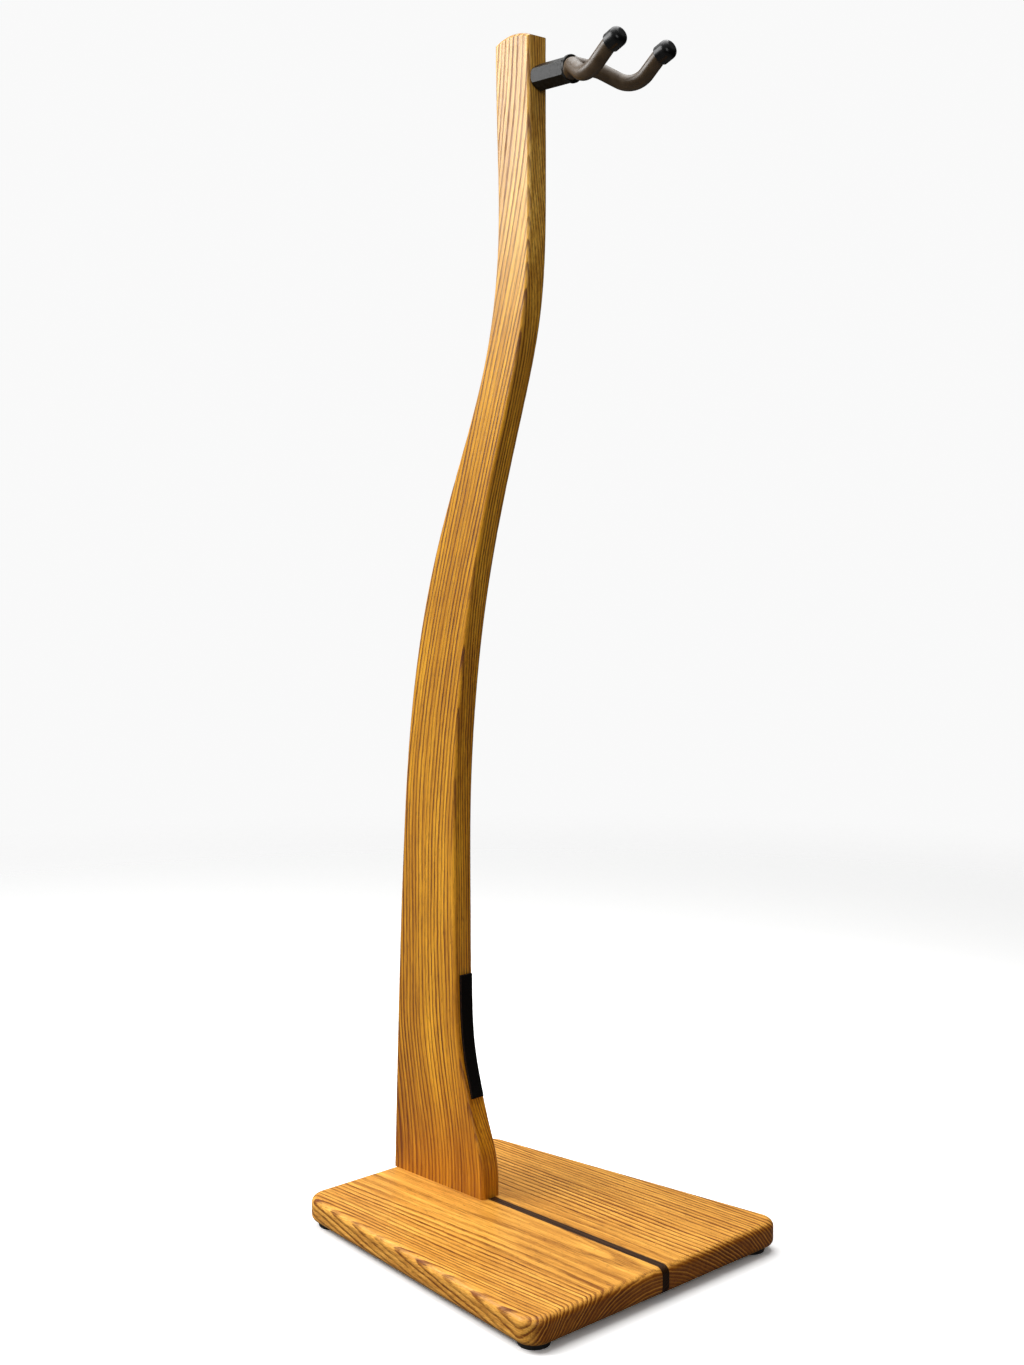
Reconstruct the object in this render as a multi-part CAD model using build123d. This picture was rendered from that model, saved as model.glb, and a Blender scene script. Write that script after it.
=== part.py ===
"""Floor-standing oak guitar stand with a swivelling neck yoke.

Millimetres. +Z is up, -Y is the front, where the guitar hangs, and +X is the right as seen from the front.
The origin is on the floor under the middle of the base.
"""
from build123d import *
import math
import os

os.makedirs("parts", exist_ok=True)

# ---- driving dimensions: base -------------------------------------------------------------
BASE_FRONT_WIDTH = 305.0
BASE_BACK_WIDTH = 228.4
BASE_DEPTH = 332.0
BASE_THICKNESS = 23.3
BASE_FRONT_CORNER_RADIUS = 17.0
BASE_BACK_CORNER_RADIUS = 19.4
BASE_EDGE_RADIUS = 6.6
INLAY_WIDTH = 8.3

# ---- driving dimensions: feet and their fixings -------------------------------------------
FOOT_HEIGHT = 5.0
FOOT_TOP_RADIUS = 14.0
FOOT_BOTTOM_RADIUS = 12.8
FOOT_EDGE_RADIUS = 1.0
FOOT_INSET = 19.4
FOOT_SCREW_SHANK_RADIUS = 1.75
FOOT_SCREW_HEAD_RADIUS = 3.4
FOOT_SCREW_HEAD_HEIGHT = 1.8
FOOT_SCREW_DEPTH = 12.0
FOOT_WASHER_RADIUS = 5.0
FOOT_WASHER_THICKNESS = 0.8
FOOT_RECESS_HEIGHT = 3.4
FOOT_DRIVER_RECESS_DEPTH = 1.2
FOOT_DRIVER_RECESS_LENGTH = 4.0
FOOT_DRIVER_RECESS_WIDTH = 0.85

# ---- driving dimensions: upright -----------------------------------------------------------
UPRIGHT_THICKNESS = 20.8
UPRIGHT_EDGE_RADIUS = 2.8
# The side outline as (y, z), from the top down: a straight head, an S-curve and a flared toe.
HEAD_FRONT = (-15.8, 1028.0)
HEAD_CROWN = (4.5, 1031.5)
HEAD_BACK = (25.6, 1025.5)
FRONT_CURVE = [(-16.3, 905), (-9.9, 803), (11.8, 723), (36.7, 643), (58.0, 558), (71.4, 472), (78.0, 386)]
FRONT_PAD_CURVE = [(78.6, 290), (77.9, 215), (73.7, 158), (63.9, 120), (53.5, 89)]
TOE_CURVE = [(45.5, 66), (42.3, 45)]
BACK_CURVE = [(23.9, 950), (22.7, 868), (39.5, 765), (70.8, 684), (104.0, 601), (128.1, 514), (142.4, 426),
              (150.2, 336), (157.2, 216), (161.5, 124)]
FOOT_BACK_Y = 165.3

# ---- driving dimensions: body rest ---------------------------------------------------------
PAD_THICKNESS = 3.0
PAD_TOP_Z = 226.0
PAD_BOTTOM_Z = 115.5
PAD_WIDTH = 13.8
PAD_OFFSET = 0.9

# ---- driving dimensions: bolted joint between base and upright -----------------------------
BASE_BOLT_Y = (73.0, 137.0)
BOLT_RADIUS = 3.1
BOLT_HOLE_RADIUS = 3.3
BOLT_HEAD_RADIUS = 5.0
BOLT_HEAD_HEIGHT = 6.0
BOLT_SOCKET_WIDTH = 5.0
BOLT_SOCKET_DEPTH = 3.0
BOLT_COUNTERBORE_RADIUS = 8.5
BOLT_COUNTERBORE_DEPTH = 9.5
BOLT_WASHER_RADIUS = 8.0
BOLT_WASHER_THICKNESS = 1.5
INSERT_RADIUS = 5.6
INSERT_LENGTH = 20.0
INSERT_FLANGE_RADIUS = 6.6
INSERT_FLANGE_THICKNESS = 1.2
BOLT_REACH_INTO_INSERT = 17.0
BOLT_TIP_CLEARANCE = 4.0

# ---- driving dimensions: swivel ------------------------------------------------------------
SWIVEL_AXIS_Z = 994.2
SWIVEL_TILT = 1.0
COLLAR_GAP_TO_WOOD = 0.2
COLLAR_ACROSS_FLATS = 19.05
COLLAR_LENGTH = 36.4
COLLAR_BACK_TAPER = 3.4
COLLAR_BACK_RADIUS = 8.2
COLLAR_BACK_BULGE = 0.5
COLLAR_FRONT_CHAMFER = 0.6
WASHER_RADIUS = 9.2
WASHER_THICKNESS = 0.6
FLANGE_RADIUS = 11.4
FLANGE_THICKNESS = 3.15
FLANGE_EDGE_RADIUS = 0.7
SHANK_RADIUS = 5.0
RUNNING_CLEARANCE = 0.05
SHANK_BORE_DEPTH = 23.0
SHANK_END_GAP = 1.0
GROOVE_DISTANCE_FROM_WOOD = 20.0
GROOVE_WIDTH = 3.4
GROOVE_DEPTH = 1.4
SWIVEL_LIMIT = 45.0
GROOVE_END_MARGIN = 1.0
SET_SCREW_RADIUS = 2.5
SET_SCREW_POINT_RADIUS = 1.5
SET_SCREW_SOCKET_WIDTH = 2.5
SET_SCREW_SOCKET_DEPTH = 1.6
SET_SCREW_SINK = 0.4
SET_SCREW_SHOULDER_GAP = 0.2
SET_SCREW_POINT_GAP = 0.3
SET_SCREW_DIRECTION = 150.0
HANGER_BOLT_RADIUS = 4.0
HANGER_BOLT_IN_COLLAR = 10.0
HANGER_BOLT_IN_WOOD = 27.0
HANGER_POINT_LENGTH = 5.0
HANGER_POINT_RADIUS = 0.3

# ---- driving dimensions: yoke arms ---------------------------------------------------------
ROD_RADIUS = 3.15
TUBE_RADIUS = 6.35
TUBE_WALL_GAP = 0.02
TUBE_START_GAP = 0.4
TUBE_SPLIT_GAP = 0.2
# Each arm's centre line as (sideways, forward of the wood, above the swivel axis), from its root to the cap's end.
# The two roots leave the flange one above the other.
ARM_ROOT_SIDEWAYS = 3.4
ARM_ROOT_ABOVE = {"left": -3.4, "right": 3.4}
ARM_POINTS = [(16.0, 54.9, -2.2), (28.4, 82.1, -19.7), (28.6, 107.6, 0.8), (28.8, 121.4, 6.4)]
ARM_BEND_RADII = [12.0, 22.0, 16.0]
ARM_RUN_BACK = 6.0
CAP_RADIUS = 8.0
CAP_LENGTH = 14.0
CAP_END_THICKNESS = 3.0
CAP_END_RADIUS = 5.5
CAP_LIP_RADIUS = 0.8

BASE_TOP_Z = FOOT_HEIGHT + BASE_THICKNESS
FRONT_Y = -BASE_DEPTH / 2
BACK_Y = BASE_DEPTH / 2
WOOD_FACE_Y = HEAD_FRONT[0] - 0.1
FLANGE_BACK = COLLAR_GAP_TO_WOOD + COLLAR_LENGTH + WASHER_THICKNESS + RUNNING_CLEARANCE
FLANGE_FRONT = FLANGE_BACK + FLANGE_THICKNESS
SIDES = {"left": -1, "right": 1}
BEYOND = 1.0
WIDE = 400.0


# ---- shared helpers ------------------------------------------------------------------------
def upright_cylinder(radius, z_low, z_high, x=0.0, y=0.0):
    """A cylinder along Z between two heights."""
    height = z_high - z_low
    return Pos(x, y, z_low) * Cylinder(radius, height, align=(Align.CENTER, Align.CENTER, Align.MIN))


def hex_prism(across_flats, height):
    """A hexagonal prism standing on Z = 0, with two vertices on the Y axis."""
    profile = RegularPolygon(radius=across_flats / 2, side_count=6, major_radius=False, rotation=30)
    return extrude(profile, amount=height)


def save(name, solids):
    """Write one node's solids to its STEP file."""
    items = solids if isinstance(solids, list) else [solids]
    shape = items[0] if len(items) == 1 else Compound(children=items)
    shape.label = name
    export_step(shape, f"parts/{name}.step")


def swivel_place(shape):
    """Move a shape from the swivel's own frame, Z along the axis and Y up, to its place on the upright."""
    lean = Rotation(90 - SWIVEL_TILT, 0, 0)
    return Pos(0, WOOD_FACE_Y, SWIVEL_AXIS_Z) * lean * shape


# ---- base ----------------------------------------------------------------------------------
def base_blank():
    """The whole glued-up base before its strip is told apart: a rounded, tapered slab."""
    front = BASE_FRONT_WIDTH / 2
    back = BASE_BACK_WIDTH / 2
    corners = [(-front, FRONT_Y), (front, FRONT_Y), (back, BACK_Y), (-back, BACK_Y)]
    outline = make_face(Polyline(*corners, close=True))
    slab = Pos(0, 0, FOOT_HEIGHT) * extrude(outline, amount=BASE_THICKNESS)
    uprights = slab.edges().filter_by(Axis.Z).sort_by(Axis.Y)
    slab = fillet(uprights[:2], BASE_FRONT_CORNER_RADIUS)
    uprights = slab.edges().filter_by(Axis.Z).sort_by(Axis.Y)
    slab = fillet(uprights[-2:], BASE_BACK_CORNER_RADIUS)
    rims = slab.faces().sort_by(Axis.Z)[0].edges() + slab.faces().sort_by(Axis.Z)[-1].edges()
    return fillet(rims, BASE_EDGE_RADIUS)


def foot_centres():
    """Foot centres, the same distance in from both edges at each corner."""
    half_turn = (BASE_FRONT_WIDTH - BASE_BACK_WIDTH) / 2
    slope = math.atan2(half_turn, BASE_DEPTH)
    front_x = BASE_FRONT_WIDTH / 2 - FOOT_INSET * math.tan(math.pi / 4 + slope / 2)
    back_x = BASE_BACK_WIDTH / 2 - FOOT_INSET * math.tan(math.pi / 4 - slope / 2)
    centres = {}
    for side, sign in SIDES.items():
        centres[f"foot_front_{side}"] = (sign * front_x, FRONT_Y + FOOT_INSET)
        centres[f"foot_rear_{side}"] = (sign * back_x, BACK_Y - FOOT_INSET)
    return centres


def base_cuts():
    """Bolt holes with their counterbores, and pilot holes for the foot screws."""
    cuts = []
    for y in BASE_BOLT_Y:
        cuts.append(upright_cylinder(BOLT_HOLE_RADIUS, 0, BASE_TOP_Z + BEYOND, y=y))
        cuts.append(upright_cylinder(BOLT_COUNTERBORE_RADIUS, 0, FOOT_HEIGHT + BOLT_COUNTERBORE_DEPTH, y=y))
    for x, y in foot_centres().values():
        cuts.append(upright_cylinder(FOOT_SCREW_SHANK_RADIUS, 0, FOOT_HEIGHT + FOOT_SCREW_DEPTH, x, y))
    return cuts


def make_base():
    """Two oak boards with the dark strip between them."""
    blank = base_blank()
    for cut in base_cuts():
        blank -= cut
    half_strip = INLAY_WIDTH / 2
    for side, sign in SIDES.items():
        zone = Pos(sign * (half_strip + WIDE / 2), 0, 0) * Box(WIDE, 2 * WIDE, WIDE)
        save(f"base_board_{side}", (blank & zone).solids()[0])
    strip_zone = Box(INLAY_WIDTH, 2 * WIDE, WIDE)
    save("base_inlay", (blank & strip_zone).solids()[0])


# ---- feet ----------------------------------------------------------------------------------
def make_feet():
    """Round rubber feet, each held by a washer and a wood screw sunk into its underside."""
    washers = []
    screws = []
    seat_z = FOOT_RECESS_HEIGHT
    head_z = seat_z - FOOT_WASHER_THICKNESS
    for name, (x, y) in foot_centres().items():
        foot = Cone(FOOT_BOTTOM_RADIUS, FOOT_TOP_RADIUS, FOOT_HEIGHT, align=(Align.CENTER, Align.CENTER, Align.MIN))
        foot = fillet(foot.edges().sort_by(Axis.Z)[0], FOOT_EDGE_RADIUS)
        foot -= upright_cylinder(FOOT_WASHER_RADIUS, 0, seat_z)
        foot -= upright_cylinder(FOOT_SCREW_SHANK_RADIUS, 0, FOOT_HEIGHT)
        save(name, Pos(x, y, 0) * foot)
        washer = upright_cylinder(FOOT_WASHER_RADIUS, head_z, seat_z)
        washer -= upright_cylinder(FOOT_SCREW_SHANK_RADIUS, head_z, seat_z)
        washers.append(Pos(x, y, 0) * washer)
        head = upright_cylinder(FOOT_SCREW_HEAD_RADIUS, head_z - FOOT_SCREW_HEAD_HEIGHT, head_z)
        head -= cross_recess(head_z - FOOT_SCREW_HEAD_HEIGHT)
        shank = upright_cylinder(FOOT_SCREW_SHANK_RADIUS, head_z, FOOT_HEIGHT + FOOT_SCREW_DEPTH)
        screws.append(Pos(x, y, 0) * (head + shank))
    save("foot_washers", washers)
    save("foot_screws", screws)


def cross_recess(low_z):
    """A cross-shaped driver recess, open downwards at the given height."""
    bar = Box(FOOT_DRIVER_RECESS_LENGTH, FOOT_DRIVER_RECESS_WIDTH, 2 * FOOT_DRIVER_RECESS_DEPTH)
    return Pos(0, 0, low_z) * (bar + Rotation(0, 0, 90) * bar)


# ---- upright -------------------------------------------------------------------------------
def side_face(edges):
    """A closed outline drawn as (y, z), as a face in the stand's middle plane."""
    return make_face(Plane.YZ * edges)


def front_edge():
    """The upright's whole front edge, from the head down to the base."""
    points = [HEAD_FRONT] + FRONT_CURVE + FRONT_PAD_CURVE + TOE_CURVE + [(TOE_CURVE[-1][0], BASE_TOP_Z)]
    return Spline(*points, tangents=[(0.0, -1.0), (0.0, -1.0)])


def upright_outline():
    """Front curve, foot, back curve and the arched crown."""
    front = front_edge()
    foot = Line((TOE_CURVE[-1][0], BASE_TOP_Z), (FOOT_BACK_Y, BASE_TOP_Z))
    back = Spline(*([HEAD_BACK] + BACK_CURVE + [(FOOT_BACK_Y, BASE_TOP_Z)]), tangents=[(0.0, -1.0), (0.04, -1.0)])
    crown = ThreePointArc(HEAD_FRONT, HEAD_CROWN, HEAD_BACK)
    return front + foot + back + crown


def upright_blank():
    """The S-curved board with its long edges and crown rounded over."""
    board = extrude(side_face(upright_outline()), amount=UPRIGHT_THICKNESS / 2, both=True)
    side_rims = []
    for face in board.faces().filter_by(Axis.X):
        side_rims += [edge for edge in face.edges() if edge.center().Z > BASE_TOP_Z + UPRIGHT_EDGE_RADIUS]
    return fillet(side_rims, UPRIGHT_EDGE_RADIUS)


def make_upright():
    """The upright with its insert holes and its hole for the hanger bolt."""
    board = upright_blank()
    for y in BASE_BOLT_Y:
        insert_top = BASE_TOP_Z + INSERT_LENGTH
        board -= upright_cylinder(INSERT_RADIUS, BASE_TOP_Z - BEYOND, insert_top, y=y)
        board -= upright_cylinder(INSERT_FLANGE_RADIUS, BASE_TOP_Z - BEYOND, BASE_TOP_Z + INSERT_FLANGE_THICKNESS, y=y)
        board -= upright_cylinder(BOLT_HOLE_RADIUS, BASE_TOP_Z, insert_top + BOLT_TIP_CLEARANCE, y=y)
    board -= swivel_place(hanger_bolt_wood_end())
    save("upright", board)
    return board


# ---- body rest -----------------------------------------------------------------------------
def make_body_rest_pad(board):
    """A thin strip that follows the front edge, narrower than the board and a little off its middle."""
    height = PAD_TOP_Z - PAD_BOTTOM_Z
    middle_z = (PAD_TOP_Z + PAD_BOTTOM_Z) / 2
    stock = extrude(side_face(upright_outline()), amount=PAD_WIDTH / 2, both=True)
    window = Pos(0, 0, middle_z) * Box(WIDE, 2 * WIDE, height)
    strip = (Pos(PAD_OFFSET, -PAD_THICKNESS, 0) * stock & window) - board
    pad = strip.solids().sort_by(SortBy.VOLUME)[-1]
    save("body_rest_pad", pad)


# ---- swivel, in its own frame: Z forward along the axis from the wood, Y up ----------------
def hanger_bolt_wood_end():
    """The screw end that the upright holds, with its point."""
    straight_end = -(HANGER_BOLT_IN_WOOD - HANGER_POINT_LENGTH)
    standing = (Align.CENTER, Align.CENTER, Align.MIN)
    point = Cone(HANGER_POINT_RADIUS, HANGER_BOLT_RADIUS, HANGER_POINT_LENGTH, align=standing)
    shank = upright_cylinder(HANGER_BOLT_RADIUS, straight_end, COLLAR_GAP_TO_WOOD)
    return shank + Pos(0, 0, -HANGER_BOLT_IN_WOOD) * point


def make_hanger_bolt():
    """Screw thread in the wood behind, machine thread in the collar in front."""
    front_end = COLLAR_GAP_TO_WOOD + HANGER_BOLT_IN_COLLAR
    bolt = hanger_bolt_wood_end() + upright_cylinder(HANGER_BOLT_RADIUS, 0, front_end)
    save("hanger_bolt", swivel_place(bolt))


def set_screw_place(shape):
    """Turn a shape that points outwards along +Z to the set screw's place in the collar."""
    middle = GROOVE_DISTANCE_FROM_WOOD
    outwards = Rotation(0, 0, -SET_SCREW_DIRECTION) * Rotation(-90, 0, 0)
    return Pos(0, 0, middle) * outwards * shape


def collar_blank():
    """The hexagonal bar, turned round behind and chamfered in front."""
    corner_radius = COLLAR_ACROSS_FLATS / math.sqrt(3)
    back = COLLAR_GAP_TO_WOOD
    front = back + COLLAR_LENGTH
    slim = corner_radius - COLLAR_FRONT_CHAMFER
    back_rim = (COLLAR_BACK_RADIUS, back)
    back_shoulder = (corner_radius, back + COLLAR_BACK_TAPER)
    bulge = ((back_rim[0] + corner_radius) / 2 + COLLAR_BACK_BULGE, (back + back_shoulder[1]) / 2 - COLLAR_BACK_BULGE)
    turned = Line((0, back), back_rim) + ThreePointArc(back_rim, bulge, back_shoulder)
    turned += Polyline(back_shoulder, (corner_radius, front - COLLAR_FRONT_CHAMFER), (slim, front), (0, front),
                       (0, back))
    envelope = revolve(make_face(Plane.XZ * turned), Axis.Z)
    return (Pos(0, 0, back) * hex_prism(COLLAR_ACROSS_FLATS, COLLAR_LENGTH)) & envelope


def make_collar():
    """The fixed collar: hanger bolt behind, pivot bore in front, set screw from below."""
    front = COLLAR_GAP_TO_WOOD + COLLAR_LENGTH
    collar = collar_blank()
    collar -= upright_cylinder(HANGER_BOLT_RADIUS, 0, COLLAR_GAP_TO_WOOD + HANGER_BOLT_IN_COLLAR)
    collar -= upright_cylinder(SHANK_RADIUS + RUNNING_CLEARANCE, front - SHANK_BORE_DEPTH, front)
    collar -= set_screw_place(upright_cylinder(SET_SCREW_RADIUS, SHANK_RADIUS - BEYOND, COLLAR_ACROSS_FLATS))
    save("swivel_collar", swivel_place(collar))


def make_set_screw():
    """A grub screw just under flush, with a dog point in the shank's groove."""
    outer = COLLAR_ACROSS_FLATS / 2 - SET_SCREW_SINK
    shoulder = SHANK_RADIUS + RUNNING_CLEARANCE + SET_SCREW_SHOULDER_GAP
    tip = SHANK_RADIUS - GROOVE_DEPTH + SET_SCREW_POINT_GAP
    screw = upright_cylinder(SET_SCREW_RADIUS, shoulder, outer)
    screw += upright_cylinder(SET_SCREW_POINT_RADIUS, tip, shoulder)
    socket = Pos(0, 0, outer - SET_SCREW_SOCKET_DEPTH) * hex_prism(SET_SCREW_SOCKET_WIDTH, SET_SCREW_SOCKET_DEPTH)
    save("collar_set_screw", swivel_place(set_screw_place(screw - socket)))


def make_swivel_washer():
    """The plastic thrust washer between the collar and the flange."""
    seat = COLLAR_GAP_TO_WOOD + COLLAR_LENGTH
    washer = upright_cylinder(WASHER_RADIUS, seat, seat + WASHER_THICKNESS)
    washer -= upright_cylinder(SHANK_RADIUS + RUNNING_CLEARANCE, seat, seat + WASHER_THICKNESS)
    save("swivel_washer", swivel_place(washer))


# ---- yoke, in the swivel's frame -----------------------------------------------------------
def make_yoke_pivot():
    """Flange and shank in one piece, with a part groove that ends where the swivel stops."""
    shank_end = COLLAR_GAP_TO_WOOD + COLLAR_LENGTH - SHANK_BORE_DEPTH + SHANK_END_GAP
    flange = upright_cylinder(FLANGE_RADIUS, FLANGE_BACK, FLANGE_FRONT)
    flange = fillet(flange.edges().filter_by(GeomType.CIRCLE), FLANGE_EDGE_RADIUS)
    pivot = flange + upright_cylinder(SHANK_RADIUS, shank_end, FLANGE_BACK)
    pivot -= swivel_groove()
    save("yoke_pivot", swivel_place(pivot))


def swivel_groove():
    """A sector of a ring, centred on the set screw and as long as its travel."""
    floor_radius = SHANK_RADIUS - GROOVE_DEPTH
    point_angle = math.degrees(math.asin(SET_SCREW_POINT_RADIUS / floor_radius))
    half_sweep = SWIVEL_LIMIT + point_angle + GROOVE_END_MARGIN
    section = Pos(floor_radius + GROOVE_DEPTH, 0) * Rectangle(2 * GROOVE_DEPTH, GROOVE_WIDTH)
    ring_part = revolve(Plane.XZ * section, Axis.Z, revolution_arc=2 * half_sweep)
    first_angle = 90 - SET_SCREW_DIRECTION - half_sweep
    return Pos(0, 0, GROOVE_DISTANCE_FROM_WOOD) * Rotation(0, 0, first_angle) * ring_part


def arm_corners(side, sign):
    """Corner points of one arm's centre line, with its end direction."""
    corners = [(ARM_ROOT_SIDEWAYS, FLANGE_FRONT, ARM_ROOT_ABOVE[side])] + ARM_POINTS
    points = [Vector(sign * sideways, above, forward) for sideways, forward, above in corners]
    end_direction = (points[-1] - points[-2]).normalized()
    return points, end_direction


def arm_path(side, sign):
    """The arm's centre line, run on behind the flange face and stopped inside the cap."""
    points, end_direction = arm_corners(side, sign)
    start_direction = (points[1] - points[0]).normalized()
    points[0] -= start_direction * ARM_RUN_BACK
    points[-1] -= end_direction * CAP_END_THICKNESS
    return FilletPolyline(*points, radius=ARM_BEND_RADII)


def arm_sweep(path, radius):
    """A round bar along an arm's centre line."""
    start = Plane(origin=path @ 0, z_dir=path % 0)
    return sweep(start * Circle(radius), path=path)


def arm_zone(sign, start):
    """All space on one side of the middle plane and forward of a distance from the wood."""
    return Pos(sign * (TUBE_SPLIT_GAP + WIDE / 2), 0, start + WIDE / 2) * Box(WIDE, WIDE, WIDE)


def make_arm(side, sign):
    """One steel rod with its rubber tube and end cap."""
    path = arm_path(side, sign)
    rod = arm_sweep(path, ROD_RADIUS) & arm_zone(sign, FLANGE_FRONT)
    bore = arm_sweep(path, ROD_RADIUS + TUBE_WALL_GAP)
    tube = (arm_sweep(path, TUBE_RADIUS) - bore) & arm_zone(sign, FLANGE_FRONT + TUBE_START_GAP)
    save(f"yoke_rod_{side}", swivel_place(rod.solids()[0]))
    save(f"grip_tube_{side}", swivel_place(tube.solids().sort_by(SortBy.VOLUME)[-1]))
    points, end_direction = arm_corners(side, sign)
    mouth = Plane(origin=points[-1] - end_direction * CAP_LENGTH, z_dir=end_direction)
    cap = mouth * end_cap() - arm_sweep(path, TUBE_RADIUS + TUBE_WALL_GAP)
    save(f"end_cap_{side}", swivel_place(cap.solids().sort_by(SortBy.VOLUME)[-1]))


def end_cap():
    """A push-on cap before its bore is cut, domed at its far end."""
    cap = upright_cylinder(CAP_RADIUS, 0, CAP_LENGTH)
    cap = fillet(cap.edges().sort_by(Axis.Z)[-1], CAP_END_RADIUS)
    return fillet(cap.edges().sort_by(Axis.Z)[0], CAP_LIP_RADIUS)


# ---- bolts between base and upright --------------------------------------------------------
def make_base_fixings():
    """Socket-head bolts with washers from below, and flanged brass inserts in the upright's foot."""
    bolts = []
    washers = []
    inserts = []
    seat_z = FOOT_HEIGHT + BOLT_COUNTERBORE_DEPTH
    head_top = seat_z - BOLT_WASHER_THICKNESS
    head_bottom = head_top - BOLT_HEAD_HEIGHT
    bolt_top = BASE_TOP_Z + BOLT_REACH_INTO_INSERT
    for y in BASE_BOLT_Y:
        bolt = upright_cylinder(BOLT_HEAD_RADIUS, head_bottom, head_top, y=y)
        bolt += upright_cylinder(BOLT_RADIUS, head_top, bolt_top, y=y)
        bolts.append(bolt - Pos(0, y, head_bottom) * hex_prism(BOLT_SOCKET_WIDTH, BOLT_SOCKET_DEPTH))
        washer = upright_cylinder(BOLT_WASHER_RADIUS, head_top, seat_z, y=y)
        washers.append(washer - upright_cylinder(BOLT_HOLE_RADIUS, head_top, seat_z, y=y))
        insert = upright_cylinder(INSERT_RADIUS, BASE_TOP_Z, BASE_TOP_Z + INSERT_LENGTH, y=y)
        insert += upright_cylinder(INSERT_FLANGE_RADIUS, BASE_TOP_Z, BASE_TOP_Z + INSERT_FLANGE_THICKNESS, y=y)
        inserts.append(insert - upright_cylinder(BOLT_RADIUS, BASE_TOP_Z, BASE_TOP_Z + INSERT_LENGTH, y=y))
    save("base_bolts", bolts)
    save("base_bolt_washers", washers)
    save("threaded_inserts", inserts)


# ---- the whole stand -----------------------------------------------------------------------
make_base()
make_feet()
make_body_rest_pad(make_upright())
make_base_fixings()
make_hanger_bolt()
make_collar()
make_set_screw()
make_swivel_washer()
make_yoke_pivot()
for side_name, side_sign in SIDES.items():
    make_arm(side_name, side_sign)
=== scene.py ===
"""Looks of a floor-standing oak guitar stand with a swivelling yoke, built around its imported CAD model.

The CAD parts keep their shapes and get procedural materials. The body rest, a plain solid in the CAD model,
is replaced by a modelled strip of leather. A pale floor, three soft lights and a camera make up the studio.
Objects are in metres. Sizes inside the materials are in millimetres.
"""
import math

import bmesh
import bpy
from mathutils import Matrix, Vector, noise
from mathutils.bvhtree import BVHTree


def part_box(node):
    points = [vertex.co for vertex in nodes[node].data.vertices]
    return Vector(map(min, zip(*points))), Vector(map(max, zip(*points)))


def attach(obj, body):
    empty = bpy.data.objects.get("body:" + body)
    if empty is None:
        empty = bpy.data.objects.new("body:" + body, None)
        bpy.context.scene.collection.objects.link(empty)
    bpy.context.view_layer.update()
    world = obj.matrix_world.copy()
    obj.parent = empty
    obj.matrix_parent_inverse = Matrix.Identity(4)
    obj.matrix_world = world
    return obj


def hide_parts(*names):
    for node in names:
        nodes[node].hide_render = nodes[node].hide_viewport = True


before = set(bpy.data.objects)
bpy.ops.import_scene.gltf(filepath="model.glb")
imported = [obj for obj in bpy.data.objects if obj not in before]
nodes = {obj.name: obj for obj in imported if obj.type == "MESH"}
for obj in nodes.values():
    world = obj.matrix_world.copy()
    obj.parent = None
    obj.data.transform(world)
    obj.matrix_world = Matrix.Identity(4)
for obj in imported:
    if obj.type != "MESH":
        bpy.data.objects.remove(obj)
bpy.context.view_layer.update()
MM = 0.001


# ---- shader-graph helper -------------------------------------------------------------------
# Places of the Mix node's sockets, which share their names with one another.
MIX_COLOR_INPUTS = (6, 7)
MIX_COLOR_RESULT = 2
MIX_FLOAT_INPUTS = (2, 3)
MIX_FLOAT_RESULT = 0

# The window that most noise values fall in.
MOST_NOISE = (0.3, 0.7)


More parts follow.
